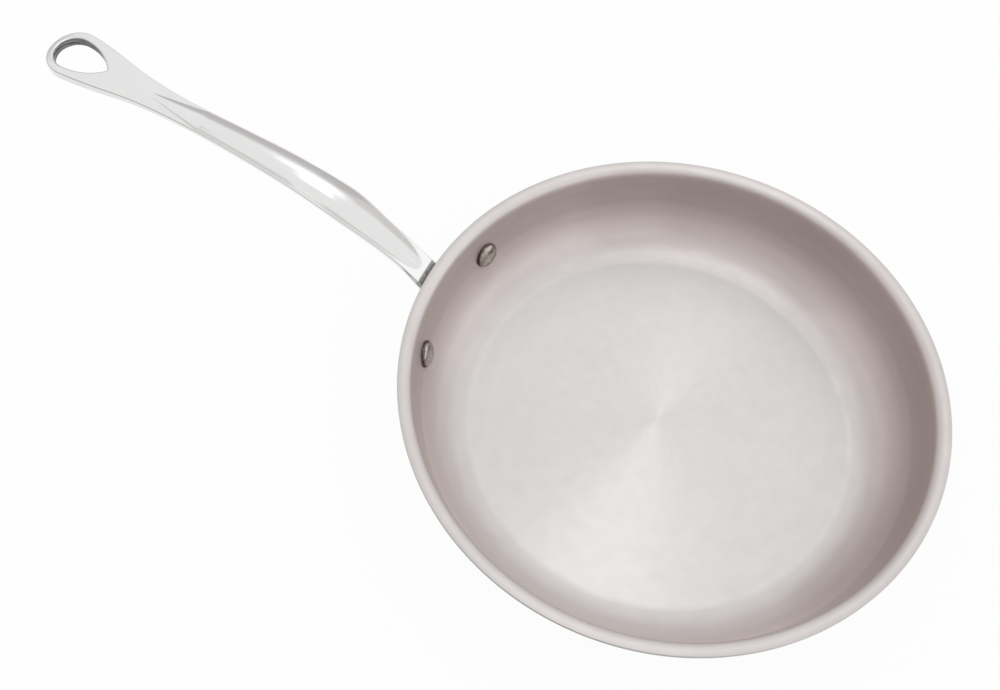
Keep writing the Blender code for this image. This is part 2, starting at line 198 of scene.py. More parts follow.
def make_turned_grain() -> bpy.types.NodeTree:
    """Builds the group for the fine rings that turning and brushing leave round Z.

    Returns:
        A group with the outputs Rings and Streaks, both from 0 to 1.
    """
    ring_scale, ring_turn, streak_scale, streak_turn = 2200.0, 3.0, 150.0, 9.0
    board, given, result = new_group("turned_grain", {}, ("Rings", "Streaks"))
    x, y, z = board.split(given["Vector"])
    radius = board.math("SQRT", board.math("ADD", board.math("MULTIPLY", x, x),
                                           board.math("MULTIPLY", y, y)))
    safe = board.math("MAXIMUM", radius, 0.0005)
    across = board.math("DIVIDE", x, safe)
    ahead = board.math("DIVIDE", y, safe)
    travel = board.math("ADD", radius, z)
    for title, scale, turn, detail, roughness in (
            ("Rings", ring_scale, ring_turn, 3.0, 0.6),
            ("Streaks", streak_scale, streak_turn, 2.0, 0.5)):
        drawn = board.join(board.math("MULTIPLY", travel, scale),
                           board.math("MULTIPLY", across, turn),
                           board.math("MULTIPLY", ahead, turn))
        board.feed(result[title], board.noise(drawn, 1.0, detail, roughness))
    return board.tree


def make_metal_grain() -> bpy.types.NodeTree:
    """Builds the group for polished or raw metal.

    Returns:
        A group with the outputs Polish, fine lines along X, and Cloud, soft
        patches, and Pits, small dents, all from 0 to 1.
    """
    line_scale, stretch = 900.0, 0.04
    board, given, result = new_group(
        "metal_grain", {"Cloud Scale": 60.0, "Pit Scale": 900.0}, ("Polish", "Cloud", "Pits"))
    place = given["Vector"]
    x, y, z = board.split(place)
    lines = board.join(board.math("MULTIPLY", x, stretch), y, z)
    board.feed(result["Polish"], board.noise(lines, line_scale, 3.0, 0.6))
    board.feed(result["Cloud"], board.noise(place, given["Cloud Scale"], 3.0, 0.55))
    board.feed(result["Pits"], board.noise(place, given["Pit Scale"], 4.0, 0.65))
    return board.tree


def make_edge_wear() -> bpy.types.NodeTree:
    """Builds the group that finds bare, rubbed edges.

    Returns:
        A group with the output Wear, 1 on a sharp edge and 0 on flat metal.
    """
    start, full, uneven_scale, uneven_reach = 0.52, 0.62, 300.0, 0.05
    board, given, result = new_group("edge_wear", {}, ("Wear",))
    sharp = board.add("ShaderNodeNewGeometry").outputs["Pointiness"]
    noise = board.math("SUBTRACT", board.noise(given["Vector"], uneven_scale), 0.5)
    uneven = board.math("ADD", sharp, board.math("MULTIPLY", noise, uneven_reach))
    board.feed(result["Wear"], board.span(uneven, start, full))
    return board.tree


@dataclass
class Effects:
    """The node groups that the finishes share."""

    turned: bpy.types.NodeTree = field(default_factory=make_turned_grain)
    metal: bpy.types.NodeTree = field(default_factory=make_metal_grain)
    wear: bpy.types.NodeTree = field(default_factory=make_edge_wear)


def use_group(board: Board, group: bpy.types.NodeTree, vector: object,
              **values: float) -> bpy.types.NodeOutputs:
    """Places a shared group in a material.

    Args:
        board: The material's board.
        group: The group to place.
        vector: The coordinates that it reads.
        **values: Inputs by name, with _ for a space.

    Returns:
        The outputs of the placed group.
    """
    node = board.add("ShaderNodeGroup", node_tree=group)
    board.feed(node.inputs["Vector"], vector)
    for name, value in values.items():
        board.feed(node.inputs[name.replace("_", " ")], value)
    return node.outputs


def start_metal(name: str) -> tuple[bpy.types.Material, Board, bpy.types.Node]:
    """Returns a new metal, its board and its Principled shader."""
    material = bpy.data.materials.new(name)
    material.use_nodes = True
    shader = material.node_tree.nodes["Principled BSDF"]
    shader.inputs["Metallic"].default_value = 1.0
    return material, Board(material.node_tree), shader


def add_bump(board: Board, shader: bpy.types.Node, height: object, depth: float) -> None:
    """Gives a shader a bump of a real depth in metres."""
    bump = board.wire(board.add("ShaderNodeBump"), {
        "Strength": 1.0, "Distance": depth, "Height": height})
    board.feed(shader.inputs["Normal"], bump)


# Finishes


@dataclass(frozen=True)
class TurnedSteel:
    """Satin steel brushed in rings about Z, with its tone set by the height on the pan, which on
    the cooking side paints in light and shade.

    Attributes:
        name: The material's name.
        tones: Ramp of colours over the height, from the underside to the rim. On the cooking side
            it is painted light and shade: darker at the corner's foot, lighter on the corner,
            painted shade up the wall and a painted highlight on the lip.
        top: Height at the end of the ramp.
        roughness: Roughness of the satin.
        uneven: How far the roughness strays with the streaks.
        smooth_floor: How much smoother the floor is than the wall.
        anisotropy: How far reflections are drawn out.
        turn: Turn of the brushing, as a share of a full circle.
        groove: Depth of the bump.
        streak_shade: How much darker the streaks are.
        ring_shade: How much darker the rings are.
        floor_edge: Shares of the height over which the floor turns to wall.
    """

    name: str
    tones: Stops
    top: float
    roughness: float = 0.30
    uneven: float = 0.012
    smooth_floor: float = 0.0
    anisotropy: float = 0.7
    turn: float = 0.25
    groove: float = 0.000004
    streak_shade: float = 0.065
    ring_shade: float = 0.075
    floor_edge: tuple[float, float] = (0.045, 0.15)

    def make(self, effects: Effects) -> bpy.types.Material:
        """Returns the material.

        Args:
            effects: The shared node groups.
        """
        material, board, shader = start_metal(self.name)
        place = board.place()
        grain = use_group(board, effects.turned, place)
        height = board.math("DIVIDE", board.split(place)["Z"], self.top)
        # The height ramp, with its painted light and shade, becomes the base colour here.
        colour = board.ramp(height, self.tones)
        shade = 1.0
        for mark, reach in (("Streaks", self.streak_shade), ("Rings", self.ring_shade)):
            shade = board.math("SUBTRACT", shade, board.math(
                "MULTIPLY", board.math("SUBTRACT", grain[mark], 0.5), reach))
        tinted = board.add("ShaderNodeVectorMath", operation="SCALE")
        board.feed(tinted.inputs[0], colour)
        board.feed(tinted.inputs["Scale"], shade)
        satin = board.span(grain["Streaks"], 0.2, 0.8, self.roughness - self.uneven,
                           self.roughness + self.uneven)
        floor = board.span(height, *self.floor_edge, -self.smooth_floor, 0.0)
        tangent = board.add("ShaderNodeTangent", direction_type="RADIAL", axis="Z")
        board.wire(shader, {
            "Base Color": tinted.outputs[0], "Roughness": board.math("ADD", satin, floor),
            "Anisotropic": self.anisotropy, "Anisotropic Rotation": self.turn,
            "Tangent": tangent.outputs[0]})
        add_bump(board, shader, grain["Rings"], self.groove)
        return material


@dataclass(frozen=True)
class PolishedCasting:
    """Cast steel rubbed to a soft polish along its length.

    Attributes:
        name: The material's name.
        colour: Colour of the metal.
        roughness: Roughness of the polish.
        cloud: How far the roughness strays.
        line: Depth of the polishing lines.
        line_rough: How much rougher the polishing lines are.
        dull: Brightness of its dull patches, as a share of the colour.
        worn: Brightness of its rubbed edges, as a share of the colour.
    """

    name: str
    colour: Colour
    roughness: float = 0.13
    cloud: float = 0.03
    line: float = 0.000003
    line_rough: float = 0.03
    dull: float = 0.94
    worn: float = 1.12

    def make(self, effects: Effects) -> bpy.types.Material:
        """Returns the material.

        Args:
            effects: The shared node groups.
        """
        material, board, shader = start_metal(self.name)
        place = board.place()
        grain = use_group(board, effects.metal, place)
        wear = use_group(board, effects.wear, place)["Wear"]
        dull = tuple(self.dull * part for part in self.colour)
        body = board.mix(grain["Cloud"], dull, self.colour)
        bright = tuple(min(1.0, self.worn * part) for part in self.colour)
        cloud = board.span(grain["Cloud"], 0.25, 0.75, self.roughness - self.cloud,
                           self.roughness + self.cloud)
        lines = board.math("MULTIPLY", grain["Polish"], self.line_rough)
        board.wire(shader, {"Base Color": board.mix(wear, body, bright),
                            "Roughness": board.math("ADD", cloud, lines)})
        add_bump(board, shader, grain["Polish"], self.line)
        return material


@dataclass(frozen=True)
class MottledMetal:
    """Metal with patches and small pits, for rivets, cut edges and raw casting.

    Attributes:
        name: The material's name.
        dark: Colour of its dark patches.
        light: Colour of its light patches.
        roughness: Roughness of the metal.
        pit: Depth of its pits.
        pit_scale: How fine the pits are.
        cloud_scale: How fine the patches are.
        metal: How metallic the skin is.
        flatten: How far the marks are drawn out level, where 1 is mottled.
        stray: How far the roughness strays.
        rough_mark: The mark that the roughness strays with.
        rough_span: Range of that mark over which it strays.
        patch_span: Range over which the dark patches turn to light.
    """

    name: str
    dark: Colour
    light: Colour
    roughness: float
    pit: float = 0.000006
    pit_scale: float = 1800.0
    cloud_scale: float = 520.0
    metal: float = 1.0
    flatten: float = 1.0
    stray: float = 0.05
    rough_mark: str = "Cloud"
    rough_span: tuple[float, float] = (0.2, 0.8)
    patch_span: tuple[float, float] = (0.35, 0.65)

    def make(self, effects: Effects) -> bpy.types.Material:
        """Returns the material.

        Args:
            effects: The shared node groups.
        """
        material, board, shader = start_metal(self.name)
        shader.inputs["Metallic"].default_value = self.metal
        x, y, z = board.split(board.place())
        place = board.join(board.math("MULTIPLY", x, self.flatten),
                           board.math("MULTIPLY", y, self.flatten), z)
        grain = use_group(board, effects.metal, place, Cloud_Scale=self.cloud_scale,
                          Pit_Scale=self.pit_scale)
        patches = board.span(grain["Cloud"], *self.patch_span)
        uneven = board.span(grain[self.rough_mark], *self.rough_span,
                            self.roughness - self.stray, self.roughness + self.stray)
        board.wire(shader, {"Base Color": board.mix(patches, self.dark, self.light),
                            "Roughness": uneven})
        add_bump(board, shader, grain["Pits"], self.pit)
        return material


# Meshes


def add_object(name: str, shape: bmesh.types.BMesh) -> bpy.types.Object:
    """Makes an object from a shape and frees the shape.

    Args:
        name: The object's name.
        shape: The shape.

    Returns:
        The object.
    """
    mesh = bpy.data.meshes.new(name)
    shape.to_mesh(mesh)
    shape.free()
    made = bpy.data.objects.new(name, mesh)
    bpy.context.scene.collection.objects.link(made)
    return made


def smooth_faces(mesh: bpy.types.Mesh, crease: float) -> None:
    """Smooths a mesh's faces, except across edges past an angle in degrees."""
    mesh.shade_smooth()
    mesh.set_sharp_from_angle(angle=math.radians(crease))


def finish_piece(shape: bmesh.types.BMesh, name: str, materials: list[bpy.types.Material],
                 node: str, crease: float = CREASE) -> bpy.types.Object:
    """Makes a finished piece from a shape and joins it to the frame.

    Args:
        shape: The shape, which is freed.
        name: The piece's name.
        materials: Its materials in the order of its faces' indices.
        node: The CAD node that it stands for.
        crease: Angle in degrees past which an edge stays sharp.

    Returns:
        The piece.
    """
    piece = add_object(name, shape)
    for material in materials:
        piece.data.materials.append(material)
    smooth_faces(piece.data, crease)
    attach(piece, BODY)
    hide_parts(node)
    LOG.info("%s: %d faces", name, len(piece.data.polygons))
    return piece


def cut_from(piece: bpy.types.Object, cutters: list[bpy.types.Object],
             crease: float = CREASE) -> None:
    """Cuts shapes out of a piece and keeps the result as its mesh.

    Args:
        piece: The piece to cut.
        cutters: Closed shapes to take away.
        crease: Angle in degrees past which an edge stays sharp.
    """
    for cutter in cutters:
        cut = piece.modifiers.new(cutter.name, "BOOLEAN")
        cut.operation = "DIFFERENCE"
        cut.solver = "EXACT"
        cut.object = cutter
    graph = bpy.context.evaluated_depsgraph_get()
    mesh = bpy.data.meshes.new_from_object(piece.evaluated_get(graph))
    piece.modifiers.clear()
    old = piece.data
    piece.data = mesh
    bpy.data.meshes.remove(old)
    smooth_faces(mesh, crease)


def turn_outline(outline: list[Vector], steps: int) -> bmesh.types.BMesh:
    """Turns an outline about Z.

    Args:
        outline: Radii and heights, with both ends on the axis.
        steps: How many steps the turn takes.

    Returns:
        The closed shape.
    """
    shape = bmesh.new()
    verts = [shape.verts.new((point.x, 0.0, point.y)) for point in outline]
    edges = [shape.edges.new(pair) for pair in zip(verts, verts[1:])]
    bmesh.ops.spin(shape, geom=verts + edges, cent=(0.0, 0.0, 0.0), axis=(0.0, 0.0, 1.0),
                   angle=2.0 * math.pi, steps=steps, use_merge=True)
    bmesh.ops.remove_doubles(shape, verts=shape.verts[:], dist=WELD)
    bmesh.ops.recalc_face_normals(shape, faces=shape.faces[:])
    return shape


def add_grid(shape: bmesh.types.BMesh, rows: list[list[Vector]]) -> list[bmesh.types.BMVert]:
    """Adds a grid of quads and lays its points on rows of places.

    Args:
        shape: The shape that takes the grid.
        rows: Rows of places, all of the same length.

    Returns:
        The grid's points.
    """
    across, along = len(rows[0]) - 1, len(rows) - 1
    verts = bmesh.ops.create_grid(shape, x_segments=across, y_segments=along, size=0.5)["verts"]
    for vert in verts:
        column = round((vert.co.x + 0.5) * across)
        row = round((vert.co.y + 0.5) * along)
        vert.co = rows[row][column]
    return verts


def smooth_path(points: list[Vector], count: int) -> list[Vector]:
    """Reads evenly spaced points from a smooth curve through given ones.

    Args:
        points: Points that the curve passes through.
        count: How many points to return, with both ends.

    Returns:
        The points on the curve.
    """
    fine = []
    steps = 24
    ends = (points[0] * 2.0 - points[1], points[-1] * 2.0 - points[-2])
    padded = [ends[0], *points, ends[1]]
    for before, first, second, after in zip(padded, padded[1:], padded[2:], padded[3:]):
        for step in range(steps):
            t = step / steps
            fine.append(0.5 * (first * 2.0 + (second - before) * t
                               + (before * 2.0 - first * 5.0 + second * 4.0 - after) * t * t
                               + (first * 3.0 - before - second * 3.0 + after) * t ** 3))
    fine.append(points[-1])
    lengths = [0.0]
    for first, second in zip(fine, fine[1:]):
        lengths.append(lengths[-1] + (second - first).length)
    result = []
    index = 0
    for step in range(count):
        goal = lengths[-1] * step / (count - 1)
        while index < len(fine) - 2 and lengths[index + 1] < goal:
            index += 1
        reach = lengths[index + 1] - lengths[index]
        result.append(fine[index].lerp(fine[index + 1], (goal - lengths[index]) / reach))
    return result


def quarter(steps: int, first: int = 0) -> list[tuple[float, float]]:
    """Returns the sine and cosine at each step of a quarter turn."""
    angles = [0.5 * math.pi * step / steps for step in range(first, steps + 1)]
    return [(math.sin(angle), math.cos(angle)) for angle in angles]


# Pan body


def square_to(angle: float) -> Vector:
    """Returns the direction square to a slope, outward and down."""
    return Vector((math.sin(angle), -math.cos(angle)))


def arc(centre: Vector, radius: float, start: float, end: float, steps: int) -> list[Vector]:
    """Returns points round a centre, square to the slopes from a start to an end."""
    return [centre + radius * square_to(start + (end - start) * step / steps)
            for step in range(steps + 1)]


@dataclass
class PanBody:
    """The pressed body: three plies of sheet turned about Z.

    Heights and radii are those of the cooking side. A level is a distance
    from the underside through the sheet.
    """

    rim_radius: float
    rim_height: float
    cooking_ply: float = 0.0004
    core_ply: float = 0.0012
    outer_ply: float = 0.0004
    bond_line: float = 0.00005
    corner_radius: float = 0.0252
    wall_angle: float = math.radians(79.5)
    lip_angle: float = math.radians(8.0)
    lip_flat: float = 0.0025
    lip_bend: float = 0.0037
    edge_round: float = 0.0003
    near: float = 0.00001
    steps_round: int = 288
    corner_steps: int = 30
    bend_steps: int = 10
    floor_steps: int = 24
    wall_steps: int = 6

    @property
    def sheet(self) -> float:
        """Thickness of the laminate."""
        return self.cooking_ply + self.core_ply + self.outer_ply + 2.0 * self.bond_line

    def lip_centre(self) -> Vector:
        """Returns radius and height of the centre that the lip bends round."""
        along = Vector((math.cos(self.lip_angle), math.sin(self.lip_angle)))
        flat_end = Vector((self.rim_radius, self.rim_height)) - self.lip_flat * along
        return flat_end + (self.lip_bend + self.sheet) * square_to(self.lip_angle)

    def corner_centre(self) -> Vector:
        """Returns radius and height of the centre of the corner between floor and wall."""
        lean = square_to(self.wall_angle)
        wall_top = self.lip_centre() - (self.lip_bend + self.sheet) * lean
        height = self.sheet + self.corner_radius
        wall_foot = height - self.corner_radius * math.cos(self.wall_angle)
        run = (wall_top.y - wall_foot) / math.tan(self.wall_angle)
        return Vector((wall_top.x - run - self.corner_radius * lean.x, height))

    def profile(self, level: float) -> list[Vector]:
        """Returns the turned outline of one level, from the axis to the rim's edge."""
        centre = self.corner_centre()
        points = [Vector((centre.x * step / self.floor_steps, level))
                  for step in range(self.floor_steps)]
        points += arc(centre, self.corner_radius + self.sheet - level, 0.0, self.wall_angle,
                      self.corner_steps)
        wall_foot = points[-1]
        bend = arc(self.lip_centre(), -(self.lip_bend + level), self.wall_angle, self.lip_angle,
                   self.bend_steps)
        for step in range(1, self.wall_steps):
            points.append(wall_foot.lerp(bend[0], step / self.wall_steps))
        rise = (self.rim_radius - bend[-1].x) * math.tan(self.lip_angle)
        return [*points, *bend, Vector((self.rim_radius, bend[-1].y + rise))]

    def radius_at(self, height: float, corner: float) -> float:
        """Returns the radius at a height of the side whose corner has a radius."""
        centre = self.corner_centre()
        foot = centre.y - corner * math.cos(self.wall_angle)
        if height < foot:
            drop = min(centre.y - height, corner)
            return centre.x + math.sqrt(corner * corner - drop * drop)
        rise = (height - foot) / math.tan(self.wall_angle)
        return centre.x + corner * math.sin(self.wall_angle) + rise

    def outer_radius(self, height: float) -> float:
        """Returns the radius of the outside at a height."""
        return self.radius_at(height, self.corner_radius + self.sheet)

    def cooking_radius(self, height: float) -> float:
        """Returns the radius of the cooking side at a height."""
        return self.radius_at(height, self.corner_radius)

    def build_ply(self, name: str, node: str, slot: str, bottom: float, top: float,
                  material: bpy.types.Material) -> bpy.types.Object:
        """Spins one ply between two levels.

        Args:
            name: The piece's name.
            node: The CAD node that it stands for.
            slot: A material slot name, not used.
            bottom: Level of its lower side.
            top: Level of its upper side.
            material: Its finish.

        Returns:
            The ply.
        """
        shape = turn_outline(self.profile(top) + self.profile(bottom)[::-1], self.steps_round)
        self.round_rim(shape, bottom, top)
        return finish_piece(shape, name, [material], node)

    def round_rim(self, shape: bmesh.types.BMesh, bottom: float, top: float) -> None:
        """Rounds the rim's edges where a ply's side is on the outside of the laminate."""
        for level, shows in ((top, top >= self.sheet), (bottom, bottom <= 0.0)):
            if not shows:
                continue
            height = self.profile(level)[-1].y
            corners = [edge for edge in shape.edges if all(
                abs(vert.co.xy.length - self.rim_radius) < self.near
                and abs(vert.co.z - height) < self.near for vert in edge.verts)]
            bmesh.ops.bevel(shape, geom=corners, offset=self.edge_round, segments=3,
                            affect="EDGES", profile=0.5, material=-1)

    def build(self, finishes: dict[str, bpy.types.Material]) -> list[bpy.types.Object]:
        """Builds the three plies.

        Args:
            finishes: Materials by name.

        Returns:
            The plies, from the outside to the cooking side.
        """
        core_bottom = self.outer_ply + self.bond_line
        core_top = core_bottom + self.core_ply
        rows = (("outer_skin", "outer_ply", "outer_steel", 0.0, self.outer_ply),
                ("core_sheet", "core_ply", "core_aluminium", core_bottom, core_top),
                ("cooking_skin", "cooking_ply", "cooking_steel", core_top + self.bond_line,
                 self.sheet))
        return [self.build_ply(*row, finishes[row[1]]) for row in rows]


# Rivets


@dataclass
class Rivets:
    """Two domed rivets through the wall and the saddle.

    A rivet's own frame has its origin on the cooking side, with Z square to
    the wall and into the pan.
    """

    pan: PanBody
    spacing: float = 0.0688
    drop: float = 0.0195
    head_radius: float = 0.0070
    head_height: float = 0.0036
    head_rim: float = 0.00025
    # Faces of a head past this share of its radius take the near-black rim finish, a painted ring
    # of shade.
    painted_rim_share: float = 0.955
    shank_radius: float = 0.0032
    tail_radius: float = 0.0052
    tail_height: float = 0.0022
    seat: float = 0.00035
    hole_clearance: float = 0.0003
    grip: float = 0.0058
    hole_depth: float = 0.03
    steps_round: int = 72
    dome_steps: int = 14
    hole_steps: int = 48

    @property
    def height(self) -> float:
        """Height of the rivets' axes on the cooking side."""
        return self.pan.rim_height - self.drop

    @property
    def angle(self) -> float:
        """How far round the pan each rivet is from the handle's plane."""
        return math.asin(0.5 * self.spacing / self.pan.cooking_radius(self.height))

    def matrix(self, side: int) -> Matrix:
        """Returns the place of the rivet on one side, 1 or -1."""
        place = Matrix.Rotation(side * self.angle, 4, "Z")
        place @= Matrix.Translation((self.pan.cooking_radius(self.height), 0.0, self.height))
        return place @ Matrix.Rotation(-self.pan.wall_angle, 4, "Y")

    def outline(self) -> list[Vector]:
        """Returns the turned outline of a rivet from its head to its tail."""
        head, tail = [], []
        foot, dome = self.seat + self.head_rim, self.head_height - self.head_rim
        for sine, cosine in quarter(self.dome_steps):
            head.append(Vector((self.head_radius * sine, foot + dome * cosine)))
            tail.append(Vector((self.tail_radius * cosine, -self.grip - self.tail_height * sine)))
        shank = [Vector((self.head_radius, self.seat)), Vector((self.shank_radius, self.seat)),
                 Vector((self.shank_radius, -self.grip))]
        return head + shank + tail

    def build(self, finishes: dict[str, bpy.types.Material]) -> list[bpy.types.Object]:
        """Builds both rivets.

        Args:
            finishes: Materials by name.

        Returns:
            The rivets.
        """
        made = []
        materials = [finishes["rivet"], finishes["rivet_rim_painted_shade"]]
        for name, side in (("rivet_left", 1), ("rivet_right", -1)):
            shape = turn_outline(self.outline(), self.steps_round)
            # The outer rim of each head gets the near-black finish: a painted ring of shade and of
            # the dark wall that it reflects.
            for face in shape.faces:
                if face.calc_center_median().xy.length > self.painted_rim_share * self.head_radius:
                    face.material_index = Patch.END
            bmesh.ops.transform(shape, matrix=self.matrix(side), verts=shape.verts[:])
            made.append(finish_piece(shape, name + "_domed", materials, name))
        return made

    def hole_cutters(self) -> list[bpy.types.Object]:
        """Returns a cutter for each rivet's hole."""
        cutters = []
        for side in (1, -1):
            shape = bmesh.new()
            radius = self.shank_radius + self.hole_clearance
            bmesh.ops.create_cone(shape, cap_ends=True, segments=self.hole_steps, radius1=radius,
                                  radius2=radius, depth=self.hole_depth, matrix=self.matrix(side))
            cutters.append(add_object("rivet_hole", shape))
        return cutters


# Handle


@dataclass(frozen=True)
class Section:
    """One section of the grip, at its share of the grip's length."""

    place: float
    crest: float
    half_width: float
    depth: float
    side: float
    spread: float
    square: float

    def values(self) -> tuple[float, ...]:
        """Returns the sizes without the place."""
        return (self.crest, self.half_width, self.depth, self.side, self.spread, self.square)


@dataclass
class CastHandle:
    """The cast handle: a saddle on the wall, a scooped grip and a hanging eye.

    The shape is made as half a skin on the +Y side, in rings of points that
    run from the middle of the top to the middle of the underside, and then
    mirrored.
    """

    pan: PanBody
    rivets: Rivets
    end_x: float
    grip_start: float = 0.0030
    eye_reach: float = 0.2002
    eye_slope: float = 0.0899
    eye_arch: float = 4.6
    eye_radius: float = 0.0099
    eye_point: float = 0.0192
    eye_tip_round: float = 0.0011
    tip_share: float = 0.15
    eye_side_wall: float = 0.0044
    eye_round: float = 0.0009
    scoop_start: float = 0.0060
    scoop_round: float = 0.0240
    scoop_end: float = 0.1610
    scoop_taper: float = 0.0330
    scoop_ratio: float = 0.42
    scoop_rim: float = 0.0006
    scoop_soft: float = 0.00016
    scoop_tip_soft: float = 0.5
    scoop_tip_bend: float = 1.5
    scoop_tip_steep: float = 0.7
    scoop_least: float = 0.0003
    scoop_end_bend: float = 2.5
    scoop_run_out: float = 1.4
    scoop_fade: float = 6.0
    edge_round: float = 0.0005
    saddle_gap: float = 0.0003
    saddle_thickness: float = 0.0032
    saddle_round: float = 0.0009
    saddle_lip_gap: float = 0.0008
    saddle_lobe: float = 0.0100
    saddle_belly: float = 0.0016
    saddle_shoulder: float = 0.0085
    saddle_fillet: float = 0.0034
    lobe_sweep: float = math.radians(100.0)
    lobe_steps: int = 24
    neck_dip: float = 0.6
    flank_sag: float = 0.65
    top_steps: int = 26
    round_steps: int = 4
    side_steps: int = 8
    under_steps: int = 38
    lining_steps: int = 6
    face_steps: int = 8
    fillet_steps: int = 12
    eye_bow_steps: int = 40
    eye_arc_steps: int = 26
    wall_steps: int = 6
    grip_step: float = 0.0009
    end_margin: float = 0.0001
    level_normal: float = 0.5
    sections: tuple[Section, ...] = ()

    def __post_init__(self) -> None:
        """Sets the grip's sections. The last one is past the eye and only steers the curve."""
        widest = self.eye_radius + self.eye_side_wall
        self.sections = (
            Section(0.0, -0.0014, 0.0077, 0.011, 0.00158, 0.001, 2.0),
            Section(0.046, 0.00673, 0.0078, 0.0095, 0.00119, 0.0002, 2.0),
            Section(0.117, 0.01656, 0.0084, 0.009, 0.00119, 0.0, 2.0),
            Section(0.213, 0.02805, 0.01, 0.0088, 0.00101, 0.0, 2.0),
            Section(0.345, 0.03752, 0.00925, 0.0084, 0.00101, 0.0, 2.0),
            Section(0.522, 0.04461, 0.00775, 0.0078, 0.00101, 0.0, 2.0),
            Section(0.674, 0.04907, 0.00705, 0.007, 0.00119, 0.0, 2.2),
            Section(0.801, 0.05328, 0.0085, 0.0064, 0.0018, 0.0, 2.8),
            Section(0.923, 0.0575, 0.0127, 0.0058, 0.0032, 0.0, 4.0),
            Section(1.0, 0.0597, widest, 0.0056, 0.0036, 0.0, 4.5),
            Section(1.077, 0.06023, 0.0127, 0.0056, 0.0036, 0.0, 4.5),
        )

    @property
    def start_x(self) -> float:
        """Place of the grip's start along X."""
        return self.pan.rim_radius + self.grip_start

    @property
    def eye_x(self) -> float:
        """Place of the eye's middle along X."""
        return self.pan.rim_radius + self.eye_reach

    def section_at(self, x: float) -> Section:
        """Returns the section at a place along X, on a smooth curve through the given ones."""
        place = min(max((x - self.start_x) / (self.eye_x - self.start_x), 0.0), 1.0)
        rows = self.sections
        index = max(i for i in range(len(rows) - 2) if rows[i].place <= place)
        start, end = rows[index], rows[index + 1]
        before, after = rows[max(index - 1, 0)], rows[index + 2]
        span = end.place - start.place
        t = (place - start.place) / span
        values = []
        for a, b, c, d in zip(before.values(), start.values(), end.values(), after.values()):
            slope_in = (c - a) / (end.place - before.place) * span
            slope_out = (d - b) / (after.place - start.place) * span
            values.append((2 * t**3 - 3 * t**2 + 1) * b + (t**3 - 2 * t**2 + t) * slope_in
                          + (3 * t**2 - 2 * t**3) * c + (t**3 - t**2) * slope_out)
        return Section(place, *values)

    def crest_at(self, x: float) -> float:
        """Returns the height of the crest at a place along X."""
        beyond = max(x - self.eye_x, 0.0)
        rise = beyond * (self.eye_slope - self.eye_arch * beyond)
        return self.pan.rim_height + self.section_at(x).crest + rise

    def top_at(self, x: float, y: float) -> float:
        """Returns the height of the top, scooped along its middle."""
        reach = x - self.pan.rim_radius
        flat = self.section_at(x).half_width - self.scoop_rim
        from_round = min(max((reach - self.scoop_start) / self.scoop_round, 0.0), 1.0)
        from_tip = min(max((self.scoop_end - reach) / self.scoop_taper, 0.0), 1.0)
        rounded = (1.0 - (1.0 - from_round) ** self.scoop_end_bend) ** (1.0 / self.scoop_end_bend)
        inner = max(flat * rounded * from_tip, self.scoop_least)
        bend = 2.0 + self.scoop_tip_bend * (1.0 - from_tip)
        steep = self.scoop_ratio * (1.0 + self.scoop_tip_steep * (1.0 - from_tip))
        depth = steep * 2.0 / bend * flat * rounded ** self.scoop_run_out * from_tip
        dip = depth * (1.0 - (abs(y) / inner) ** bend)
        soft = self.scoop_soft * (1.0 + self.scoop_tip_soft * (1.0 - from_tip))
        soft *= min(1.0, self.scoop_fade * from_tip, self.scoop_fade * rounded)
        return self.crest_at(x) - 0.5 * (dip + math.sqrt(dip * dip + soft * soft))

    def half_ring(self, inner: Vector, outer: Vector) -> list[Vector]:
        """Returns one ring of the half skin.

        Args:
            inner: Plan place of its ends, on the middle plane or the eye's edge.
            outer: Plan place of its outermost side.

        Returns:
            Points from the inner end of the top to the inner end of the underside.
        """
        section = self.section_at(outer.x)
        reach = (outer - inner).length
        away = (outer - inner) / reach
        points = []

        def add(distance: float, drop: float, scooped: bool = False) -> None:
            """Adds a point at a distance from the inner end and a drop below the crest."""
            place = inner + away * distance
            top = self.top_at(place.x, place.y) if scooped else self.crest_at(place.x)
            points.append(Vector((place.x, place.y, top - drop)))

        for step in range(self.top_steps + 1):
            add((reach - self.edge_round) * step / self.top_steps, 0.0, True)
        for sine, cosine in quarter(self.round_steps, 1):
            add(reach - self.edge_round * (1.0 - sine), self.edge_round * (1.0 - cosine))
        for step in range(1, self.side_steps + 1):
            share = step / self.side_steps
            add(reach + section.spread * share,
                self.edge_round + (section.side - self.edge_round) * share)
        width = section.half_width + section.spread
        power = 2.0 / section.square
        left = min(max(1.0 - (reach + section.spread) / width, 0.0), 1.0)
        widest_angle = math.acos(left ** (1.0 / power))
        for step in range(1, self.under_steps + 1):
            angle = widest_angle * step / self.under_steps
            across = width * (1.0 - max(math.cos(angle), 0.0) ** power)
            last = step == self.under_steps
            add(0.0 if last else reach + section.spread - across,
                section.side + (section.depth - section.side) * math.sin(angle) ** power)
        return points

    def ring_at(self, x: float) -> list[Vector]:
        """Returns the ring of the grip at a place along X."""
        return self.half_ring(Vector((x, 0.0)), Vector((x, self.section_at(x).half_width)))

    def end_place(self, share: float, run: float, widest: float) -> Vector:
        """Returns a plan place on a round end of a length and half width past the eye's middle."""
        angle = 0.5 * math.pi * (share - 1.0)
        side = 0.0 if share >= 2.0 else widest * math.cos(angle)
        return Vector((self.eye_x + run * math.sin(angle), side))

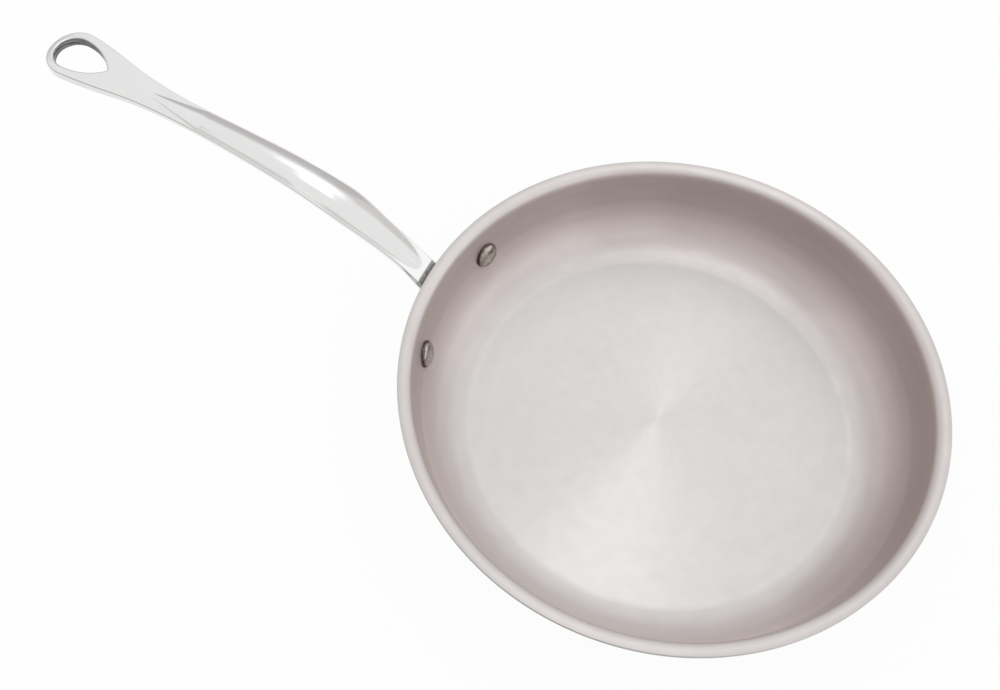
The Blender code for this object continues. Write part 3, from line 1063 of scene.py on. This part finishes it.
    def eye_place(self, share: float, offset: float) -> Vector:
        """Returns a plan place on the eye's edge, drawn outward by an offset.

        Args:
            share: 0 at the point, 1 at the widest place and 2 at the far end.
            offset: How far outside the eye's own edge.
        """
        bow = (self.eye_point**2 + self.eye_radius**2) / (2.0 * self.eye_radius)
        shift = bow - self.eye_radius
        sweep = math.acos(shift / (bow - self.eye_tip_round))
        if share < self.tip_share:
            angle = (0.5 * math.pi - sweep) * share / self.tip_share
            radius = self.eye_tip_round + offset
            middle = self.eye_x - (bow - self.eye_tip_round) * math.sin(sweep)
            return Vector((middle - radius * math.cos(angle), radius * math.sin(angle)))
        if share <= 1.0:
            angle = sweep * (1.0 - share) / (1.0 - self.tip_share)
            side = (bow + offset) * math.cos(angle) - shift
            return Vector((self.eye_x - (bow + offset) * math.sin(angle), side))
        return self.end_place(share, self.eye_radius + offset, self.eye_radius + offset)

    def outer_place(self, share: float, x: float) -> Vector:
        """Returns the plan place on the outline that faces a place on the eye's edge."""
        if share <= 1.0:
            return Vector((x, self.section_at(x).half_width))
        return self.end_place(share, self.end_x - self.eye_x, self.eye_radius + self.eye_side_wall)

    def saddle_radius(self) -> float:
        """Returns the radius that lengths round the saddle are measured on."""
        return self.pan.outer_radius(self.rivets.height) + self.saddle_gap + self.saddle_thickness

    def saddle_top(self) -> float:
        """Returns the height of the saddle's top edge, just under the lip."""
        return (self.pan.lip_centre().y + self.pan.lip_bend * math.cos(self.pan.wall_angle)
                - self.saddle_lip_gap)

    def on_wall(self, along: float, height: float, lift: float) -> Vector:
        """Returns the point over the wall at a length round it, a height and a lift."""
        angle = along / self.saddle_radius()
        height = min(height, self.saddle_top())
        radius = self.pan.outer_radius(height) + self.saddle_gap + lift
        return Vector((radius * math.cos(angle), radius * math.sin(angle), height))

    def saddle_outline(self, neck: list[Vector]) -> list[Vector]:
        """Returns half the saddle's outline as lengths and heights, one for each neck point."""
        top = self.saddle_top()
        lobe_along = self.saddle_radius() * self.rivets.angle
        spread = self.saddle_shoulder / neck[self.top_steps].y
        shoulder = [Vector((point.y * spread, top)) for point in neck[:self.top_steps + 1]]
        belly = Vector((0.0, self.rivets.height - self.saddle_lobe - self.saddle_belly))
        lobe = []
        for step in range(self.lobe_steps + 1):
            angle = self.lobe_sweep * (1.0 - 2.0 * step / self.lobe_steps)
            lobe.append(Vector((lobe_along + self.saddle_lobe * math.cos(angle),
                                self.rivets.height + self.saddle_lobe * math.sin(angle))))
        first, last = shoulder[-1], lobe[-1]
        dip = Vector((0.5 * (first.x + lobe[0].x), first.y + (lobe[0].y - first.y) * self.neck_dip))
        flank = Vector((0.5 * last.x, last.y + (belly.y - last.y) * self.flank_sag))
        rest = len(neck) - len(shoulder) + 1
        return shoulder + smooth_path([first, dip, *lobe, flank, belly], rest)[1:]

    def drawn_in(self, outline: list[Vector], amount: float) -> list[Vector]:
        """Returns an outline drawn in by an amount toward its middle height."""
        middle = 0.5 * (outline[0].y + outline[-1].y)
        longest = max(point.x for point in outline)
        tallest = 0.5 * (outline[0].y - outline[-1].y)
        return [Vector((point.x * (1.0 - amount / longest),
                        middle + (point.y - middle) * (1.0 - amount / tallest)))
                for point in outline]

    def neck_base(self, neck: list[Vector]) -> list[Vector]:
        """Returns where the neck would meet the saddle if its underside ran straight on."""
        beyond = self.ring_at(self.start_x + self.grip_step)
        base = []
        for index, (goal, next_goal) in enumerate(zip(neck, beyond)):
            run = goal.x - self.on_wall(goal.y, goal.z, self.saddle_thickness).x
            share = (index - self.top_steps) / (self.round_steps + self.side_steps)
            share = min(max(share, 0.0), 1.0)
            base.append(goal - (next_goal - goal) * (share * run / self.grip_step))
        return base

    def root_rings(self) -> list[list[Vector]]:
        """Returns the rings from the middle of the saddle's back to the start of the grip."""
        neck = self.ring_at(self.start_x)
        outline = self.saddle_outline(neck)
        middle = 0.5 * (outline[0].y + outline[-1].y)
        rings = []
        for step in range(self.lining_steps + 1):
            share = step / self.lining_steps
            rings.append([self.on_wall(point.x * share, middle + (point.y - middle) * share, 0.0)
                          for point in outline])
        thick = self.saddle_thickness
        for sine, cosine in quarter(self.round_steps):
            inset = self.drawn_in(outline, self.saddle_round * (1.0 - cosine))
            lift = thick - self.saddle_round * (1.0 - sine)
            rings.append([self.on_wall(point.x, point.y, lift) for point in inset])
        face = self.drawn_in(outline, self.saddle_round)
        base = self.neck_base(neck)
        base_middle = 0.5 * (base[0].z + base[-1].z)
        steps = self.face_steps + self.fillet_steps
        for step in range(1, steps):
            ring = []
            for index, (edge, goal) in enumerate(zip(face, neck)):
                start = self.on_wall(edge.x, edge.y, thick)
                if index <= self.top_steps:
                    ring.append(start.lerp(goal, step / steps))
                    continue
                meets = base[index]
                reach = Vector((meets.y, meets.z - base_middle))
                reach += reach.normalized() * self.saddle_fillet
                if step <= self.face_steps:
                    share = step / self.face_steps
                    across = edge.x + (reach.x - edge.x) * share
                    level = edge.y + (base_middle + reach.y - edge.y) * share
                    ring.append(self.on_wall(across, level, thick))
                    continue
                t = (step - self.face_steps) / self.fillet_steps
                foot = self.on_wall(reach.x, base_middle + reach.y, thick)
                corner = self.on_wall(meets.y, meets.z, thick)
                ring.append(foot * (1.0 - t) ** 2 + corner * 2.0 * t * (1.0 - t) + goal * t * t)
            rings.append(ring)
        return rings

    def grip_rings(self) -> list[list[Vector]]:
        """Returns the rings of the grip, up to the point of the eye."""
        run = self.eye_place(0.0, self.eye_round).x - self.start_x
        count = round(run / self.grip_step)
        return [self.ring_at(self.start_x + run * step / count) for step in range(count)]

    def eye_shares(self) -> list[float]:
        """Returns the shares round the eye at which it has rings."""
        near = [step / self.eye_bow_steps for step in range(self.eye_bow_steps)]
        far = [1.0 + step / self.eye_arc_steps for step in range(self.eye_arc_steps + 1)]
        return near + far

    def eye_rings(self) -> tuple[list[list[Vector]], list[list[Vector]]]:
        """Returns the rings round the eye, and the rows of the eye's own wall."""
        rings, wall = [], []
        for share in self.eye_shares():
            inner = self.eye_place(share, self.eye_round)
            ring = self.half_ring(inner, self.outer_place(share, inner.x))
            rings.append(ring)
            top, bottom = ring[0].z - self.crest_at(inner.x), ring[-1].z - self.crest_at(inner.x)
            row = []
            for sine, cosine in quarter(self.round_steps):
                place = self.eye_place(share, self.eye_round * (1.0 - sine))
                row.append((place, top - self.eye_round * (1.0 - cosine)))
            level, low = row[-1][1], bottom + self.eye_round
            for step in range(1, self.wall_steps):
                row.append((place, level + (low - level) * step / self.wall_steps))
            for sine, cosine in quarter(self.round_steps):
                place = self.eye_place(share, self.eye_round * (1.0 - cosine))
                row.append((place, bottom + self.eye_round * (1.0 - sine)))
            inside = [Vector((place.x, place.y, self.crest_at(place.x) + level))
                      for place, level in row[1:-1]]
            wall.append([ring[0], *inside, ring[-1]])
        return rings, wall

    def build(self, finishes: dict[str, bpy.types.Material]) -> bpy.types.Object:
        """Builds the handle.

        Args:
            finishes: Materials by name.

        Returns:
            The handle.
        """
        shape = bmesh.new()
        root = self.root_rings()
        eye, wall = self.eye_rings()
        add_grid(shape, root + self.grip_rings() + eye)
        self.mark_end(shape, root[self.lining_steps][0].z)
        for face in {face for vert in add_grid(shape, wall) for face in vert.link_faces}:
            face.normal_update()
            if abs(face.normal.z) < self.level_normal:
                face.material_index = Patch.EYE_WALL
        bmesh.ops.remove_doubles(shape, verts=shape.verts[:], dist=FINE_WELD)
        bmesh.ops.mirror(shape, geom=shape.verts[:] + shape.edges[:] + shape.faces[:], axis="Y",
                         merge_dist=WELD)
        bmesh.ops.remove_doubles(shape, verts=shape.verts[:], dist=FINE_WELD)
        bmesh.ops.recalc_face_normals(shape, faces=shape.faces[:])
        LOG.info("handle: %d open edges", sum(len(edge.link_faces) != 2 for edge in shape.edges))
        # The eye's wall takes the raw casting darkened almost to black, painted shade inside the
        # hole.
        materials = [finishes["handle"], finishes["raw"], finishes["raw_eye_wall_in_painted_shade"]]
        return finish_piece(shape, "handle_casting", materials, "handle",
                            HANDLE_CREASE)

    def mark_end(self, shape: bmesh.types.BMesh, top: float) -> None:
        """Marks the unpolished end face of the root, above a height and beside the lip."""
        widest = self.sections[0].half_width - 0.5 * self.edge_round
        for face in shape.faces:
            middle = face.calc_center_median()
            if (middle.x < self.start_x and middle.y <= widest
                    and middle.z > top - self.end_margin):
                face.material_index = Patch.END


# Studio


@dataclass(frozen=True)
class Card:
    """A curved card that stands on the floor round the pan.

    Attributes:
        name: The card's name.
        height: Its height.
        start: Direction in degrees in which it starts, from +X toward +Y.
        sweep: How many degrees it goes round the pan.
        shades: Its colours from its foot to its top.
    """

    name: str
    height: float
    start: float
    sweep: float
    shades: Stops


@dataclass(frozen=True)
class Softbox:
    """A soft rectangular lamp that faces straight down.

    Attributes:
        name: The lamp's name.
        place: Where it hangs.
        size: Its lengths along X and Y.
        glow: How bright its face looks, where 1 is white.
    """

    name: str
    place: tuple[float, float, float]
    size: tuple[float, float]
    glow: float


@dataclass
class Studio:
    """Camera, lamps, floor and surroundings."""

    camera_place: Vector = field(default_factory=lambda: Vector((-0.01944, 0.25230, 0.4924)))
    camera_aim: Vector = field(default_factory=lambda: Vector((0.09381, -0.00202, 0.0021)))
    camera_roll: float = math.radians(2.71)
    lens: float = 37.22
    floor_size: float = 6.0
    floor_share: float = 0.94
    # Painted shade that reflections see on the floor's front, and the span along Y where it sets
    # in.
    floor_front_painted_shade: Colour = (0.40, 0.39, 0.39)
    painted_shade_edge: tuple[float, float] = (0.10, 0.22)
    white_fill: float = 0.9
    card_radius: float = 2.0
    card_steps: int = 48
    cards: tuple[Card, ...] = (
        Card("low_side_card", 1.75, -60.0, 32.0, (
            (0.0, (0.58, 0.54, 0.53)), (0.78, (0.60, 0.56, 0.55)), (1.0, WHITE))),
        Card("side_card", 3.2, -28.0, 68.0, (
            (0.0, (0.69, 0.65, 0.64)), (0.52, (0.74, 0.70, 0.69)), (0.70, (0.88, 0.86, 0.85)),
            (1.0, WHITE))),
        Card("camera_side_card", 5.0, 40.0, 80.0, (
            (0.0, (0.38, 0.36, 0.36)), (0.06, (0.58, 0.55, 0.55)), (0.35, (0.62, 0.59, 0.59)),
            (0.62, (0.64, 0.62, 0.62)), (0.86, (0.86, 0.85, 0.85)), (1.0, WHITE))),
        Card("far_side_card", 4.4, 120.0, 32.0, (
            (0.0, (0.76, 0.73, 0.72)), (0.45, (0.77, 0.74, 0.73)), (0.8, (0.80, 0.78, 0.78)),
            (1.0, WHITE))),
        Card("bright_card", 2.0, -163.0, 27.0, (
            (0.0, WHITE), (0.15, (1.2, 1.2, 1.2)), (0.7, (1.2, 1.2, 1.2)), (1.0, WHITE))),
    )
    softboxes: tuple[Softbox, ...] = (
        Softbox("overhead_softbox", (0.0, -0.14, 1.2), (0.32, 1.1), 0.46),
        Softbox("handle_softbox", (0.03, 0.16, 1.2), (0.54, 0.42), 0.33),
    )

    def add_camera(self) -> None:
        """Adds the camera at the photograph's viewing angle."""
        data = bpy.data.cameras.new("camera")
        data.lens = self.lens
        data.sensor_width = 36.0
        camera = bpy.data.objects.new("camera", data)
        bpy.context.scene.collection.objects.link(camera)
        look = (self.camera_aim - self.camera_place).to_track_quat("-Z", "Y").to_matrix().to_4x4()
        camera.matrix_world = (Matrix.Translation(self.camera_place) @ look
                               @ Matrix.Rotation(self.camera_roll, 4, "Z"))
        data.clip_start = 0.01
        bpy.context.scene.camera = camera

    def add_floor(self) -> None:
        """Adds a pale floor that is seen as white and keeps a soft shadow. In reflections its front
        is painted shade, a darker grey.
        """
        shape = bmesh.new()
        bmesh.ops.create_grid(shape, x_segments=1, y_segments=1, size=0.5 * self.floor_size)
        floor = add_object("floor", shape)
        material, board, shader = start_metal("studio_floor")
        board.wire(shader, {"Metallic": 0.0, "Base Color": (0.9, 0.9, 0.9, 1.0),
                            "Roughness": 0.9, "Specular IOR Level": 0.0})
        glow = board.add("ShaderNodeEmission")
        light = board.add("ShaderNodeLightPath").outputs
        seen = board.math("MAXIMUM", light["Is Camera Ray"], light["Is Transmission Ray"])
        seen = board.math("MULTIPLY", seen, self.floor_share)
        mirrored = light["Is Glossy Ray"]
        # Painted shade: reflections see the floor's front, toward the camera, as dark grey.
        front = board.span(board.split(board.place())["Y"], *self.painted_shade_edge)
        board.feed(glow.inputs["Color"], board.mix(
            board.math("MULTIPLY", front, mirrored), WHITE, self.floor_front_painted_shade))
        mix = board.add("ShaderNodeMixShader")
        surface = board.fill(mix, (board.math("MAXIMUM", seen, mirrored), shader.outputs[0],
                                   glow.outputs[0]))
        board.feed(material.node_tree.nodes["Material Output"].inputs["Surface"], surface)
        floor.data.materials.append(material)

    def add_surroundings(self) -> None:
        """Adds a white world that lights the object softly."""
        world = bpy.data.worlds.new("studio")
        world.use_nodes = True
        bpy.context.scene.world = world
        board = Board(world.node_tree)
        backdrop = world.node_tree.nodes["Background"]
        light = board.add("ShaderNodeLightPath").outputs
        seen = board.math("MAXIMUM", light["Is Camera Ray"], light["Is Glossy Ray"])
        seen = board.math("MAXIMUM", seen, light["Is Transmission Ray"])
        backdrop.inputs["Color"].default_value = paint(WHITE)
        board.feed(backdrop.inputs["Strength"], board.span(seen, 0.0, 1.0, self.white_fill, 1.0))

    def add_softbox(self, box: Softbox) -> None:
        """Hangs a soft lamp."""
        data = bpy.data.lights.new(box.name, "AREA")
        data.shape = "RECTANGLE"
        data.size, data.size_y = box.size
        data.energy = box.glow * math.pi * box.size[0] * box.size[1]
        lamp = bpy.data.objects.new(box.name, data)
        lamp.location = box.place
        bpy.context.scene.collection.objects.link(lamp)

    def add_card(self, card: Card) -> None:
        """Adds a curved card that only polished metal shows.

        Args:
            card: Its size, place and shades.
        """
        shape = bmesh.new()
        foot = Vector((self.card_radius, 0.0, 0.0))
        foot.rotate(Matrix.Rotation(math.radians(card.start), 3, "Z"))
        verts = [shape.verts.new(foot), shape.verts.new(foot + Vector((0.0, 0.0, card.height)))]
        edge = shape.edges.new(verts)
        bmesh.ops.spin(shape, geom=[*verts, edge], cent=(0.0, 0.0, 0.0), axis=(0.0, 0.0, 1.0),
                       angle=math.radians(card.sweep), steps=self.card_steps)
        stand = add_object(card.name, shape)
        stand.visible_camera = stand.visible_diffuse = stand.visible_shadow = False
        material = bpy.data.materials.new(card.name)
        material.use_nodes = True
        board = Board(material.node_tree)
        glow = board.add("ShaderNodeEmission")
        rise = board.math("DIVIDE", board.split(board.place())["Z"], card.height)
        board.feed(glow.inputs["Color"], board.ramp(rise, card.shades))
        board.feed(material.node_tree.nodes["Material Output"].inputs["Surface"], glow.outputs[0])
        stand.data.materials.append(material)

    def build(self) -> None:
        """Builds the studio."""
        bpy.context.scene.view_settings.view_transform = "Standard"
        self.add_camera()
        self.add_floor()
        self.add_surroundings()
        for card in self.cards:
            self.add_card(card)
        for box in self.softboxes:
            self.add_softbox(box)


def main() -> None:
    """Builds the pan and its studio."""
    logging.basicConfig(level=logging.INFO, format="%(message)s")
    Studio().build()

    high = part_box("cooking_ply")[1]
    pan = PanBody(rim_radius=high.y, rim_height=high.z)
    effects = Effects()
    raw = MottledMetal("raw_casting", (0.32, 0.315, 0.31), (0.70, 0.69, 0.68), 0.5, 0.00005,
                       2600.0, 900.0, 0.5, stray=0.1, rough_mark="Pits", rough_span=(0.3, 0.7),
                       patch_span=(0.3, 0.7))
    coats = {
        # The cooking side's ramp is painted light and shade by height: darker at the corner's foot,
        # lighter on the corner, painted shade up the wall, a painted highlight on the lip and a
        # darker rim edge.
        "cooking_ply": TurnedSteel("cooking_steel", (
            (0.0, (0.675, 0.665, 0.655)), (0.0428, (0.677, 0.663, 0.653)),
            (0.05, (0.62, 0.59, 0.577)), (0.10, (0.64, 0.588, 0.578)),
            (0.19, (0.72, 0.66, 0.645)), (0.32, (0.755, 0.68, 0.668)),
            (0.45, (0.715, 0.635, 0.62)), (0.60, (0.60, 0.522, 0.503)),
            (0.80, (0.56, 0.483, 0.468)), (0.93, (0.57, 0.495, 0.48)),
            (0.965, (0.71, 0.665, 0.655)), (0.992, (0.705, 0.665, 0.655)),
            (1.0, (0.60, 0.57, 0.56))),
            pan.rim_height, roughness=0.36, smooth_floor=0.05, anisotropy=0.92),
        "outer_ply": TurnedSteel("outer_steel", (
            (0.0, (0.61, 0.595, 0.58)), (1.0, (0.655, 0.635, 0.62))), pan.rim_height,
            roughness=0.34),
        "core_ply": MottledMetal("core_aluminium", (0.5456, 0.5456, 0.5544), (0.62, 0.62, 0.63),
                                 0.45),
        "handle": PolishedCasting("polished_casting", (0.795, 0.795, 0.79)),
        "raw": raw,
        # The eye's wall is the raw casting darkened almost to black: painted shade inside the hole.
        "raw_eye_wall_in_painted_shade": replace(raw, name="raw_eye_wall_in_painted_shade", dark=(0.05, 0.05, 0.05),
                            light=(0.30, 0.295, 0.29), metal=0.8, roughness=0.4, flatten=0.12,
                            pit=0.00002),
        "rivet": MottledMetal("rivet_steel", (0.3306, 0.2958, 0.2726), (0.57, 0.51, 0.47), 0.2,
                              0.00003, 1100.0),
        # Painted shade and painted reflection: the near-black ring round each rivet head.
        "rivet_rim_painted_shade": MottledMetal("rivet_rim_painted_shade", (0.12, 0.099, 0.09), (0.20, 0.165, 0.15), 0.4,
                                   0.00002, 1100.0),
    }
    finishes = {name: coat.make(effects) for name, coat in coats.items()}

    rivets = Rivets(pan)
    cutters = rivets.hole_cutters()
    for ply in pan.build(finishes):
        cut_from(ply, cutters)
    handle = CastHandle(pan, rivets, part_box("handle")[1].x).build(finishes)
    cut_from(handle, cutters, HANDLE_CREASE)
    rivets.build(finishes)
    for cutter in cutters:
        bpy.data.objects.remove(cutter, do_unlink=True)


if __name__ == "__main__":
    main()
